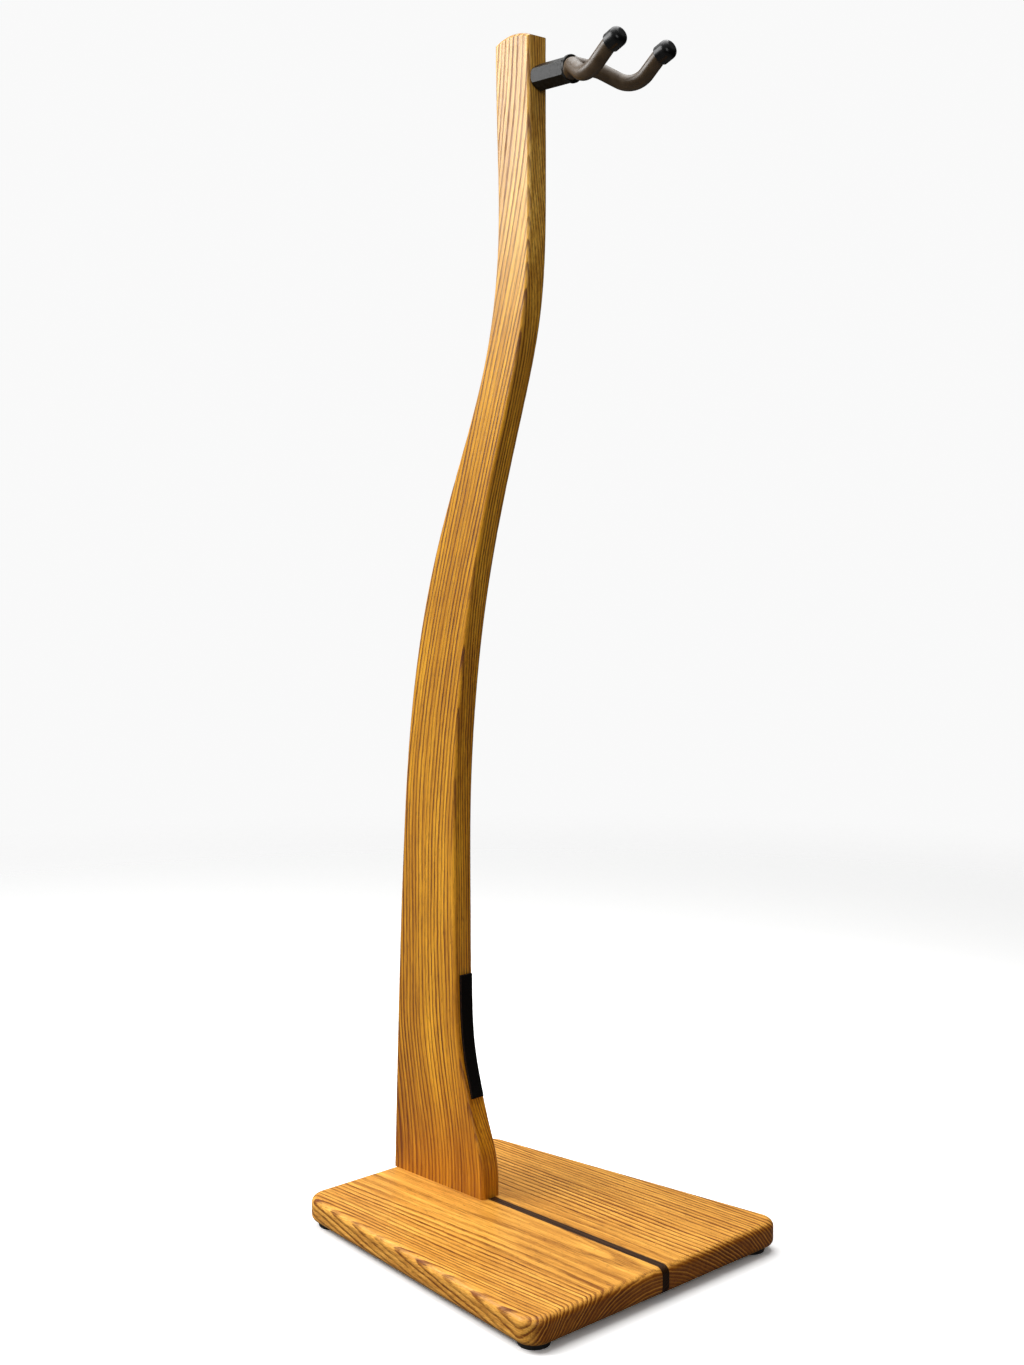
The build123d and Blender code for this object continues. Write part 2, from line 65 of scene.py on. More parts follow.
class Graph:
    """Builds one material's node graph; its methods return the socket that holds their result."""

    def __init__(self, name):
        self.material = bpy.data.materials.new(name)
        self.material.use_nodes = True
        self.tree = self.material.node_tree
        self.shader = self.tree.nodes["Principled BSDF"]
        self.position = self.tree.nodes.new("ShaderNodeTexCoord").outputs["Object"]

    def node(self, kind, **settings):
        made = self.tree.nodes.new(kind)
        for key, value in settings.items():
            setattr(made, key, value)
        return made

    def put(self, socket, value):
        """Link another socket's value in, or set a plain one."""
        if isinstance(value, bpy.types.NodeSocket):
            self.tree.links.new(value, socket)
        else:
            socket.default_value = value

    def math(self, operation, *values, clamp=False):
        made = self.node("ShaderNodeMath", operation=operation, use_clamp=clamp)
        for socket, value in zip(made.inputs, values):
            self.put(socket, value)
        return made.outputs[0]

    def vector(self, operation, *values):
        made = self.node("ShaderNodeVectorMath", operation=operation)
        for socket, value in zip(made.inputs, values):
            self.put(socket, value)
        return made.outputs["Value" if operation in ("LENGTH", "DOT_PRODUCT") else "Vector"]

    def millimetres(self):
        """The place on the object, in millimetres."""
        made = self.node("ShaderNodeVectorMath", operation="SCALE")
        self.put(made.inputs[0], self.position)
        made.inputs["Scale"].default_value = 1 / MM
        return made.outputs["Vector"]

    def split(self, vector):
        made = self.node("ShaderNodeSeparateXYZ")
        self.put(made.inputs[0], vector)
        return tuple(made.outputs)

    def join(self, x, y, z):
        made = self.node("ShaderNodeCombineXYZ")
        for socket, value in zip(made.inputs, (x, y, z)):
            self.put(socket, value)
        return made.outputs[0]

    def noise(self, vector, scale=1.0, detail=2.0, roughness=0.5):
        made = self.node("ShaderNodeTexNoise")
        self.put(made.inputs["Vector"], vector)
        self.put(made.inputs["Scale"], scale)
        self.put(made.inputs["Detail"], detail)
        self.put(made.inputs["Roughness"], roughness)
        return made.outputs["Fac"]

    def ramp(self, value, window, results=(0.0, 1.0)):
        """A smooth step: the first result below the window, the second above it."""
        made = self.node("ShaderNodeMapRange", interpolation_type="SMOOTHSTEP")
        for socket, number in zip(made.inputs, (value, *window, *results)):
            self.put(socket, number)
        return made.outputs["Result"]

    def mix(self, factor, first, second, blend="MIX"):
        made = self.node("ShaderNodeMix", data_type="RGBA", blend_type=blend)
        self.put(made.inputs["Factor"], factor)
        for place, color in zip(MIX_COLOR_INPUTS, (first, second)):
            self.put(made.inputs[place], color)
        return made.outputs[MIX_COLOR_RESULT]

    def bump(self, height, distance, strength):
        made = self.node("ShaderNodeBump")
        made.inputs["Strength"].default_value = strength
        made.inputs["Distance"].default_value = distance
        self.put(made.inputs["Height"], height)
        self.put(self.shader.inputs["Normal"], made.outputs["Normal"])

    def finish(self, color, roughness, **sockets):
        """Fill the shader's sockets and hand over the material."""
        self.put(self.shader.inputs["Base Color"], color)
        self.put(self.shader.inputs["Roughness"], roughness)
        for name, value in sockets.items():
            self.put(self.shader.inputs[name.replace("_", " ")], value)
        return self.material


def rgb(red, green, blue):
    return (red, green, blue, 1.0)


# ---- wood ----------------------------------------------------------------------------------
# Kinds of streak: width across the grain and length along it in mm, the noise's detail and roughness, and an
# offset that keeps one kind from repeating another.
STREAKS = {
    "wander across": (70.0, 330.0, 1.0, 0.5, 0.0),
    "wander deep": (70.0, 330.0, 1.0, 0.5, 7.3),
    "ring waves": (9.0, 70.0, 2.0, 0.5, 0.0),
    "ring tremble": (1.4, 16.0, 2.0, 0.5, 2.7),
    "early gaps": (3.0, 70.0, 2.0, 0.5, 5.9),
    "pores": (0.75, 13.0, 2.0, 0.62, 1.3),
    "flecks": (0.85, 7.0, 1.0, 0.5, 9.1),
    "fibre": (0.9, 42.0, 3.0, 0.6, 4.4),
    "bands": (4.6, 230.0, 2.0, 0.5, 6.2),
    "cloud": (40.0, 170.0, 2.0, 0.5, 8.8),
}

# How far waves and tremble shift a ring, in rings. How fast the rings' spacing changes per mm, and how much a
# ring's strength differs from the next one's, each with the row of noise that it is read from.
WAVE_SHIFT = 0.55
TREMBLE_SHIFT = 0.22
SPACING_RATE = 0.045
SPACING_ROW = 3.1
STRENGTH_STEP = 0.71
STRENGTH_ROW = 0.4

# Where in a ring, from 0 to 1, the early wood comes and goes, and the late wood on a cut end does.
EARLY_START = (0.0, 0.12)
EARLY_END = (0.20, 0.62)
LATE_START = (0.62, 0.80)
LATE_END = (0.86, 1.0)
LATE_LEFT_OVER = 0.25

# Windows of a noise, a slant or an angle, and the shares that they turn into.
EARLY_BY_RING = ((0.28, 0.72), (0.50, 1.05))
EARLY_BY_GAP = ((0.28, 0.58), (0.55, 1.0))
EARLY_BY_SLANT = ((0.08, 0.55), (0.42, 1.0))
LATE_BY_RING = ((0.34, 0.66), (0.25, 1.0))
PORE_WINDOW = (0.48, 0.62)
PORES_IN_EARLY = 0.70
PORES_IN_LATE = 0.16
FLECK_WINDOW = (0.67, 0.75)
FLECK_SHARE = 0.6
END_PORE_SHARE = 0.5
END_GRAIN_WINDOW = (0.55, 0.95)

# Soft shades, from the low end of their noise to the high end. They tell most in blue and least in red.
BAND_SHADES = (1.12, 0.80)
FIBRE_SHADES = (1.16, 0.78)
CLOUD_SHADES = (1.10, 0.86)
GREEN_SHADE_POWER = 1.35
BLUE_SHADE_POWER = 1.9

# Relief and polish.
WOOD_RELIEF = 0.22 * MM
WOOD_RELIEF_STRENGTH = 0.5
FIBRE_RELIEF = 0.25
EARLY_RELIEF = 0.3
EARLY_DULLNESS = 0.10
PORE_DULLNESS = 0.2

# Each wood's colours are its pale ground, its early wood and its pores.
OAK = (rgb(0.88, 0.415, 0.066), rgb(0.29, 0.085, 0.004), rgb(0.13, 0.032, 0.002))
DEEP_OAK = (rgb(0.85, 0.387, 0.020), rgb(0.27, 0.085, 0.002), rgb(0.13, 0.033, 0.001))
WALNUT = (rgb(0.070, 0.034, 0.016), rgb(0.022, 0.009, 0.004), rgb(0.008, 0.003, 0.001))
# Painted sheen: the upright is painted paler and whiter near its top, with paler early-wood lines, in place
# of the key light's sheen there.
PAINTED_SHEEN = rgb(0.95, 0.60, 0.15)
PAINTED_SHEEN_LINE = rgb(0.48, 0.21, 0.020)
PAINTED_SHEEN_SHARE = 0.55
# Painted shade: the upright is painted darker and redder near its foot, where it meets the base.
TOE_PAINTED_SHADE = rgb(0.36, 0.105, 0.001)
TOE_PAINTED_SHADE_CLIMB = (30.0, 180.0)
TOE_PAINTED_SHADE_SHARE = 0.50
END_GRAIN = rgb(0.64, 0.42, 0.16)
END_SHARE = 0.55


class WoodGraph(Graph):
    """The graph of one board's wood, which knows the directions of its grain, in millimetres."""

    def __init__(self, name, grain, seed, lean, toe):
        super().__init__(name)
        self.grain = grain
        self.seed = seed
        x, y, z = self.split(self.millimetres())
        self.climb = z
        if lean:
            low, high, travel = lean
            y = self.math("ADD", y, self.ramp(z, (low, high), (0.0, travel)))
        if toe:
            low, high, travel = toe
            y = self.math("ADD", y, self.ramp(z, (low, high), (travel, 0.0)))
        self.across, self.deep, self.along = (x, y, z) if grain == "Z" else (x, z, y)

    def streaks(self, kind):
        """Noise drawn out along the grain."""
        width, length, detail, roughness, offset = STREAKS[kind]
        place = self.join(self.math("MULTIPLY_ADD", self.across, 1 / width, self.seed + offset),
                          self.math("MULTIPLY", self.deep, 1 / width),
                          self.math("MULTIPLY", self.along, 1 / length))
        return self.noise(place, detail=detail, roughness=roughness)


def growth_rings(g, pith, ring_width, wander, crowding):
    """Distance from a pith line that wanders slowly along the grain, counted in uneven rings."""
    side = g.math("ADD", g.math("SUBTRACT", g.across, pith[0]),
                  g.math("MULTIPLY", g.streaks("wander across"), wander))
    rise = g.math("ADD", g.math("SUBTRACT", g.deep, pith[1]),
                  g.math("MULTIPLY", g.streaks("wander deep"), wander))
    radius = g.vector("LENGTH", g.join(side, rise, 0.0))
    spacing = g.noise(g.join(g.math("MULTIPLY", radius, SPACING_RATE), SPACING_ROW, g.seed), detail=1.0)
    count = g.math("ADD", g.math("DIVIDE", radius, ring_width), g.math("MULTIPLY", spacing, crowding))
    count = g.math("ADD", count, g.math("MULTIPLY", g.streaks("ring waves"), WAVE_SHIFT))
    count = g.math("ADD", count, g.math("MULTIPLY", g.streaks("ring tremble"), TREMBLE_SHIFT))
    return count, side, radius


def early_wood(g, ring, ring_tone, side, radius):
    """Share of early wood: a sharp start in each ring, then a fade into the dense late wood."""
    early = g.math("MULTIPLY", g.ramp(ring, EARLY_START), g.ramp(ring, EARLY_END, (1.0, 0.0)))
    early = g.math("MULTIPLY", early, g.ramp(ring_tone, *EARLY_BY_RING))
    early = g.math("MULTIPLY", early, g.ramp(g.streaks("early gaps"), *EARLY_BY_GAP))
    if g.grain == "Y":        # a flat board's wide flames, where its rings lie nearly flat too, stay soft
        slant = g.math("DIVIDE", g.math("ABSOLUTE", side), radius)
        early = g.math("MULTIPLY", early, g.ramp(slant, *EARLY_BY_SLANT))
    return early


def with_end_grain(g, color, ring, ring_tone, pores, pale, dark):
    """The colour with the board's cut ends darkened, and crossed by pale late wood and pores."""
    grain_axis = (0.0, 0.0, 1.0) if g.grain == "Z" else (0.0, 1.0, 0.0)
    facing = g.vector("DOT_PRODUCT", g.node("ShaderNodeTexCoord").outputs["Normal"], grain_axis)
    at_end = g.ramp(g.math("ABSOLUTE", facing), END_GRAIN_WINDOW)
    late = g.math("MULTIPLY", g.ramp(ring, LATE_START), g.ramp(ring, LATE_END, (1.0, LATE_LEFT_OVER)))
    end_color = g.mix(g.math("MULTIPLY", late, g.ramp(ring_tone, *LATE_BY_RING)), dark, pale)
    end_color = g.mix(g.math("MULTIPLY", pores, END_PORE_SHARE), end_color, dark)
    darkened = g.mix(1.0, color, END_GRAIN, "MULTIPLY")
    return g.mix(at_end, color, g.mix(END_SHARE, darkened, end_color))


def wood(name, grain, pith, ring_width, colors, lean=None, toe=None, painted_sheen_climb=None, wander=8.0, crowding=4.0,
         contrast=1.0, seed=0.0, gloss=0.34, specular=0.24):
    """Ring-porous wood, drawn in depth: growth rings about a pith line, and pores along the grain.

    grain is the axis that the grain follows, "Y" or "Z". pith is where the pith line crosses the other two
    axes, and ring_width is a ring's mean width. lean is (from, to, travel): how far the grain drifts along Y
    as it climbs. toe is the same for the flare at the foot, where the wood also gets a painted shade, darker
    and redder towards the base. painted_sheen_climb is (from, to): the climb over which the wood is painted
    paler, a painted sheen of the key light on the top. wander is how far the rings stray, and crowding how
    unevenly they are spaced.
    """
    pale, middle, dark = colors
    g = WoodGraph(name, grain, seed, lean, toe)
    count, side, radius = growth_rings(g, pith, ring_width, wander, crowding)
    ring = g.math("FRACT", count)
    tone_place = g.join(g.math("MULTIPLY", g.math("FLOOR", count), STRENGTH_STEP), STRENGTH_ROW, seed)
    ring_tone = g.noise(tone_place, detail=0.0)
    early = early_wood(g, ring, ring_tone, side, radius)
    pores = g.math("MULTIPLY", g.ramp(g.streaks("pores"), PORE_WINDOW),
                   g.math("MULTIPLY_ADD", early, PORES_IN_EARLY, PORES_IN_LATE))
    flecks = g.ramp(g.streaks("flecks"), FLECK_WINDOW)
    fibre = g.streaks("fibre")

    color = g.mix(g.math("MULTIPLY", early, contrast, clamp=True), pale, middle)
    color = g.mix(g.math("MULTIPLY", pores, contrast, clamp=True), color, dark)
    color = g.mix(g.math("MULTIPLY", flecks, FLECK_SHARE), color, dark)
    # Painted sheen: paler towards the top, in place of the key light's sheen.
    if painted_sheen_climb:
        color = g.mix(g.ramp(g.climb, painted_sheen_climb, (0.0, PAINTED_SHEEN_SHARE)), color, g.mix(early, PAINTED_SHEEN, PAINTED_SHEEN_LINE))
    # Painted shade: darker and redder near the foot, where the upright meets the base.
    if toe:
        color = g.mix(g.ramp(g.climb, TOE_PAINTED_SHADE_CLIMB, (TOE_PAINTED_SHADE_SHARE, 0.0)), color, TOE_PAINTED_SHADE)
    tones = ((g.streaks("bands"), BAND_SHADES), (fibre, FIBRE_SHADES), (g.streaks("cloud"), CLOUD_SHADES))
    for tone, shades in tones:
        red = g.ramp(tone, MOST_NOISE, shades)
        green = g.math("POWER", red, GREEN_SHADE_POWER)
        blue = g.math("POWER", red, BLUE_SHADE_POWER)
        color = g.mix(1.0, color, g.join(red, green, blue), "MULTIPLY")
    color = with_end_grain(g, color, ring, ring_tone, pores, pale, dark)

    sunk = g.math("ADD", pores, g.math("MULTIPLY", early, EARLY_RELIEF))
    height = g.math("SUBTRACT", g.math("MULTIPLY", fibre, FIBRE_RELIEF), sunk)
    g.bump(height, WOOD_RELIEF, WOOD_RELIEF_STRENGTH)
    dullness = g.math("ADD", g.math("MULTIPLY", early, EARLY_DULLNESS),
                      g.math("MULTIPLY", pores, PORE_DULLNESS))
    return g.finish(color, g.math("ADD", gloss, dullness), Specular_IOR_Level=specular)


def make_woods():
    """One procedural wood for each board, each cut from its own place in the tree."""
    return {
        "upright": wood("oak_upright", "Z", pith=(480.0, 420.0), ring_width=2.4, colors=DEEP_OAK,
                        lean=(330.0, 1060.0, 150.0), toe=(30.0, 190.0, 20.0), painted_sheen_climb=(690.0, 980.0), wander=9.0,
                        crowding=2.4, contrast=1.25, seed=11.0, gloss=0.30, specular=0.46),
        "base_board_left": wood("oak_base_left", "Y", pith=(-15.0, -58.0), ring_width=3.2, colors=OAK,
                                wander=12.0, crowding=1.4, contrast=1.18, seed=37.0),
        "base_board_right": wood("oak_base_right", "Y", pith=(-37.0, -133.0), ring_width=3.0, colors=OAK,
                                 wander=8.0, crowding=1.6, contrast=1.18, seed=71.0),
        "base_inlay": wood("walnut_inlay", "Y", pith=(60.0, -90.0), ring_width=2.2, colors=WALNUT, seed=5.0,
                           specular=0.12),
    }


# ---- metals, plastics and rubbers ----------------------------------------------------------
METAL_RELIEF = 0.02 * MM
BLACK_RELIEF = 0.03 * MM
BLACK_WHOLE = rgb(0.0015, 0.0015, 0.0015)
BLACK_RUBBED = rgb(0.034, 0.035, 0.032)


def metal(name, clean, stained, stain_size, roughness, line_scale):
    """Bare or plated metal: drifting stains, fine tool lines across line_scale, uneven polish."""
    g = Graph(name)
    in_mm = g.millimetres()
    stains = g.noise(in_mm, scale=1 / stain_size, detail=4.0, roughness=0.6)
    lines = g.noise(g.vector("MULTIPLY", in_mm, line_scale), detail=3.0, roughness=0.65)
    color = g.mix(g.ramp(stains, (0.38, 0.66)), clean, stained)
    polish = g.math("ADD", g.ramp(lines, MOST_NOISE, (roughness - 0.06, roughness + 0.08)),
                    g.ramp(stains, (0.4, 0.7), (0.0, 0.14)))
    g.bump(lines, METAL_RELIEF, 0.6)
    return g.finish(color, polish, Metallic=1.0)


def black_finish():
    """Satin black finish on steel: rubbed grey in fine specks and patches, darker where it is whole."""
    g = Graph("black_steel")
    in_mm = g.millimetres()
    patches = g.noise(in_mm, scale=0.22, detail=3.0, roughness=0.6)
    specks = g.noise(in_mm, scale=1.3, detail=4.0, roughness=0.75)
    drawn = g.noise(g.vector("MULTIPLY", in_mm, (2.4, 0.25, 2.4)), detail=2.0)
    worn = g.math("ADD", g.ramp(specks, (0.44, 0.66), (0.0, 0.80)),
                  g.ramp(patches, (0.42, 0.70), (0.0, 0.35)))
    worn = g.math("MULTIPLY", worn, g.ramp(drawn, MOST_NOISE, (0.6, 1.1)), clamp=True)
    color = g.mix(worn, BLACK_WHOLE, BLACK_RUBBED)
    g.bump(specks, BLACK_RELIEF, 0.5)
    return g.finish(color, g.ramp(worn, (0.0, 1.0), (0.32, 0.56)), Specular_IOR_Level=0.17)


def rubbery(name, color, worn_color, grain_size, roughness, relief, specular=0.5):
    """Moulded rubber or vinyl: a fine stipple, faint mottling and uneven sheen."""
    g = Graph(name)
    in_mm = g.millimetres()
    stipple = g.noise(in_mm, scale=1 / grain_size, detail=2.0, roughness=0.7)
    mottle = g.noise(in_mm, scale=0.11, detail=4.0, roughness=0.6)
    shade = g.math("ADD", g.ramp(mottle, (0.32, 0.70), (0.0, 0.65)),
                   g.ramp(stipple, (0.40, 0.72), (0.0, 0.35)))
    g.bump(stipple, relief * MM, 0.7)
    polish = g.math("ADD", g.ramp(mottle, MOST_NOISE, (roughness - 0.05, roughness + 0.08)),
                    g.ramp(stipple, (0.4, 0.7), (0.0, 0.05)))
    return g.finish(g.mix(shade, color, worn_color), polish, Specular_IOR_Level=specular)


def make_hardware():
    """Materials of the fittings, by the record's slot names."""
    return {
        "zinc_steel": metal("zinc_steel", rgb(0.66, 0.67, 0.69), rgb(0.46, 0.45, 0.42), stain_size=5.0,
                            roughness=0.30, line_scale=(1.1, 1.1, 6.0)),
        "brass_insert": metal("brass_insert", rgb(0.80, 0.58, 0.25), rgb(0.48, 0.31, 0.12), stain_size=4.0,
                              roughness=0.32, line_scale=(1.0, 1.0, 7.0)),
        "rod_steel": metal("rod_steel", rgb(0.32, 0.31, 0.30), rgb(0.16, 0.13, 0.11), stain_size=6.0,
                           roughness=0.40, line_scale=(3.0, 1.0, 3.0)),
        "black_steel": black_finish(),
        "foot_rubber": rubbery("foot_rubber", rgb(0.010, 0.010, 0.010), rgb(0.035, 0.034, 0.032),
                               grain_size=0.5, roughness=0.62, relief=0.10),
        "nylon": rubbery("nylon", rgb(0.020, 0.020, 0.021), rgb(0.045, 0.044, 0.043),
                         grain_size=0.35, roughness=0.42, relief=0.03),
        "grip_rubber": rubbery("grip_rubber", rgb(0.052, 0.029, 0.010), rgb(0.092, 0.057, 0.026),
                               grain_size=0.45, roughness=0.36, relief=0.03, specular=0.45),
        "cap_vinyl": rubbery("cap_vinyl", rgb(0.002, 0.002, 0.002), rgb(0.006, 0.006, 0.006),
                             grain_size=0.8, roughness=0.27, relief=0.03, specular=0.30),
    }


SLOT_NODES = {
    "zinc_steel": ("foot_washers", "foot_screws", "base_bolts", "base_bolt_washers", "hanger_bolt"),
    "brass_insert": ("threaded_inserts",),
    "rod_steel": ("yoke_rod_left", "yoke_rod_right"),
    "black_steel": ("swivel_collar", "collar_set_screw", "yoke_pivot"),
    "foot_rubber": ("foot_front_left", "foot_front_right", "foot_rear_left", "foot_rear_right"),
    "nylon": ("swivel_washer",),
    "grip_rubber": ("grip_tube_left", "grip_tube_right"),
    "cap_vinyl": ("end_cap_left", "end_cap_right"),
}


def assign(node_name, material):
    """Give a CAD node one material all over."""
    mesh = nodes[node_name].data
    mesh.materials.clear()
    mesh.materials.append(material)


for node_name, material in make_woods().items():
    assign(node_name, material)
hardware = make_hardware()
for slot_name, node_names in SLOT_NODES.items():
    for node_name in node_names:
        assign(node_name, hardware[slot_name])


# ---- leather rest pad ----------------------------------------------------------------------
PAD_THICKNESS = 3.0 * MM
PAD_EDGE_RADIUS = 0.55 * MM
PAD_LEATHER_RELIEF = 0.14 * MM
PAD_CUT_RELIEF = 0.20 * MM
LEATHER_SLOT, CUT_SLOT = 0, 1

# The mesh: its steps along, across and through the strip, the share of the length left free at each end, and
# where the rounding's extra lines lie, from the outside in, as shares of the edge radius.
PAD_STATIONS = 150
PAD_ACROSS = 22
PAD_DEEP = 7
PAD_END_INSET = 0.003
PAD_ROUNDING_LINES = (0.0, 0.25, 0.55)
RAY_RUN_UP = 0.1

# The wear: how far in it reaches and how deep it goes, and how many cells of noise there are in a metre.
RAGGED_RIM = 1.0 * MM
RAGGED_SIDE_DEPTH = 0.22 * MM
RAGGED_END_DEPTH = 0.25 * MM
RAGGED_WAVES = (90, 260, 420)
RAGGED_FIBRES = 1500
RAGGED_FIBRE_SHARE = 0.6
FACE_CROWN = 0.18 * MM
FACE_DENT_DEPTH = 0.10 * MM
FACE_DENTS = 330


def pad_leather():
    """Black leather: pebbled grain, creases across the strip, rubbed high spots."""
    g = Graph("pad_leather")
    in_mm = g.millimetres()
    cells = g.node("ShaderNodeTexVoronoi", feature="DISTANCE_TO_EDGE")
    g.put(cells.inputs["Vector"], in_mm)
    cells.inputs["Scale"].default_value = 1.1
    pebble = g.ramp(cells.outputs["Distance"], (0.0, 0.22))
    crease = g.ramp(g.noise(g.vector("MULTIPLY", in_mm, (0.25, 0.4, 1.1)), detail=3.0), (0.55, 0.68))
    nap = g.noise(in_mm, scale=4.0, detail=2.0, roughness=0.7)
    height = g.math("SUBTRACT", g.math("ADD", pebble, g.math("MULTIPLY", nap, 0.5)), crease)
    g.bump(height, PAD_LEATHER_RELIEF, 0.8)
    rubbed = g.math("MULTIPLY", pebble, g.ramp(nap, (0.35, 0.70)))
    color = g.mix(rubbed, rgb(0.0010, 0.0010, 0.0010), rgb(0.0045, 0.0042, 0.0040))
    return g.finish(color, g.ramp(rubbed, (0.0, 1.0), (0.88, 0.72)), Specular_IOR_Level=0.10)


def pad_edge():
    """The cut edge of the leather: raw brown fibre with dye that has soaked in unevenly."""
    g = Graph("pad_cut_edge")
    in_mm = g.millimetres()
    fibre = g.noise(g.vector("MULTIPLY", in_mm, (1.2, 1.2, 3.0)), detail=4.0, roughness=0.7)
    soak = g.noise(in_mm, scale=0.35, detail=2.0)
    color = g.mix(g.ramp(fibre, (0.35, 0.68)), rgb(0.006, 0.003, 0.002), rgb(0.050, 0.019, 0.009))
    color = g.mix(g.ramp(soak, (0.42, 0.60)), color, rgb(0.006, 0.004, 0.004))
    g.bump(fibre, PAD_CUT_RELIEF, 0.9)
    return g.finish(color, 0.88, Specular_IOR_Level=0.15)


def pad_path():
    """Points up the middle of the CAD pad's outer face, their normals across it, and the pad's width."""
    low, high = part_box("body_rest_pad")
    solid = nodes["body_rest_pad"].data
    tree = BVHTree.FromPolygons([vertex.co for vertex in solid.vertices],
                                [tuple(face.vertices) for face in solid.polygons])
    middle = (low[0] + high[0]) / 2
    outer = []
    for step in range(PAD_STATIONS + 1):
        share = PAD_END_INSET + (1 - 2 * PAD_END_INSET) * step / PAD_STATIONS
        start = Vector((middle, low[1] - RAY_RUN_UP, low[2] + (high[2] - low[2]) * share))
        outer.append(tree.ray_cast(start, Vector((0.0, 1.0, 0.0)))[0])
    normals = []
    for step in range(PAD_STATIONS + 1):
        along = outer[min(step + 1, PAD_STATIONS)] - outer[max(step - 1, 0)]
        normals.append(Vector((0.0, -along.z, along.y)).normalized())
    return outer, normals, high[0] - low[0]


def eased(count, size):
    """Places from -size/2 to size/2: even steps, with a few close together at both ends for the rounding."""
    inner = size / 2 - PAD_EDGE_RADIUS
    ends = [size / 2 - PAD_EDGE_RADIUS * share for share in PAD_ROUNDING_LINES]
    middle = [inner * (2 * step / count - 1) for step in range(count + 1)]
    return [-place for place in ends] + middle + ends[::-1]


def rounded(place, half):
    """A place on a square-edged slab of half sizes half, drawn in to its rounded edges."""
    core = Vector([max(-half[axis] + PAD_EDGE_RADIUS, min(half[axis] - PAD_EDGE_RADIUS, place[axis]))
                   for axis in range(3)])
    away = place - core
    return core + away.normalized() * PAD_EDGE_RADIUS if away.length > 0 else place


def unit_noise(place):
    """Noise from 0 to 1."""
    return noise.noise(place) * 0.5 + 0.5


def worn(place, half):
    """A place on the rounded slab, drawn in where cut edges are ragged and the face is dented and crowned."""
    ragged = unit_noise(Vector([part * rate for part, rate in zip(place, RAGGED_WAVES)]))
    ragged += RAGGED_FIBRE_SHARE * unit_noise(place * RAGGED_FIBRES)
    rim = max(0.0, abs(place.x) - half.x + RAGGED_RIM) / RAGGED_RIM
    place.x -= math.copysign(RAGGED_SIDE_DEPTH * ragged * rim, place.x)
    end = max(0.0, abs(place.z) - half.z + RAGGED_RIM) / RAGGED_RIM
    place.z -= math.copysign(RAGGED_END_DEPTH * ragged * end, place.z)
    if place.y < 0:
        crown = (place.x / half.x) ** 4 * FACE_CROWN
        dents = FACE_DENT_DEPTH * unit_noise(place * FACE_DENTS)
        place.y += (crown + dents) * min(1.0, -place.y / half.y)
    return place


def lattice_faces(last):
    """Each outer face of a box lattice, as the axis that it faces along and its four corners' indices."""
    for fixed in range(3):
        first, second = [axis for axis in range(3) if axis != fixed]
        for level in (0, last[fixed]):
            for i in range(last[first]):
                for j in range(last[second]):
                    corners = []
                    for di, dj in ((0, 0), (1, 0), (1, 1), (0, 1)):
                        index = [0, 0, 0]
                        index[fixed], index[first], index[second] = level, i + di, j + dj
                        corners.append(tuple(index))
                    yield fixed, corners


def make_pad():
    """The rest strip: a bent rounded slab of leather with a worn face and slightly ragged cut edges."""
    outer, normals, width = pad_path()
    length = sum((b - a).length for a, b in zip(outer, outer[1:]))
    half = Vector((width / 2, PAD_THICKNESS / 2, length / 2))
    spots = (eased(PAD_ACROSS, width), eased(PAD_DEEP, PAD_THICKNESS), eased(PAD_STATIONS, length))
    shape = bmesh.new()
    made = {}

    def corner(index):
        """The vertex at a lattice place of the flat slab, rounded, worn, then bent along the path."""
        if index not in made:
            place = worn(rounded(Vector([spots[axis][index[axis]] for axis in range(3)]), half), half)
            station = max(0.0, min(0.9999, place.z / length + 0.5)) * PAD_STATIONS
            step = int(station)
            share = station - step
            base = outer[step].lerp(outer[step + 1], share)
            normal = normals[step].lerp(normals[step + 1], share)
            base = base - normal * (place.y + half.y)
            made[index] = shape.verts.new((base.x + place.x, base.y, base.z))
        return made[index]

    for facing, corners in lattice_faces([len(places) - 1 for places in spots]):
        face = shape.faces.new([corner(index) for index in corners])
        face.smooth = True
        face.material_index = LEATHER_SLOT if facing == 1 else CUT_SLOT
    bmesh.ops.recalc_face_normals(shape, faces=shape.faces)
    mesh = bpy.data.meshes.new("rest_pad_leather")
    shape.to_mesh(mesh)
    shape.free()
    mesh.materials.append(pad_leather())
    mesh.materials.append(pad_edge())
    pad = bpy.data.objects.new("rest_pad_leather", mesh)
    bpy.context.scene.collection.objects.link(pad)
    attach(pad, "stand")
    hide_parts("body_rest_pad")


make_pad()


# ---- camera, floor, world and lights -------------------------------------------------------
CAMERA_PLACE = (-1.0703, -1.1107, 0.6312)
CAMERA_YAW = 0.760
CAMERA_PITCH = 0.089
CAMERA_LENS = 47.81
CAMERA_REACH = 200.0

# The floor, out to its radius, with the distances over which it turns from near to far paper and thins out.
FLOOR_RADIUS = 6.0
FLOOR_SEGMENTS = 96
FLOOR_TURN = (0.35, 1.35)
FLOOR_FADE = (0.90, 2.40)
FLOOR_NEAR = (rgb(1.30, 1.30, 1.295), rgb(1.34, 1.34, 1.34))
FLOOR_FAR = rgb(0.955, 0.955, 0.95)
FLOOR_BOUNCE = rgb(0.16, 0.158, 0.155)

# How bright the world looks, and how its light grows from the dim side to the bright one.
BACKDROP_SEEN = 0.95
SKY_BRIGHT_SIDE = (-0.38, 0.38, 0.84)
SKY_WINDOW = (-0.3, 1.0)
SKY_STRENGTH = (0.025, 0.55)

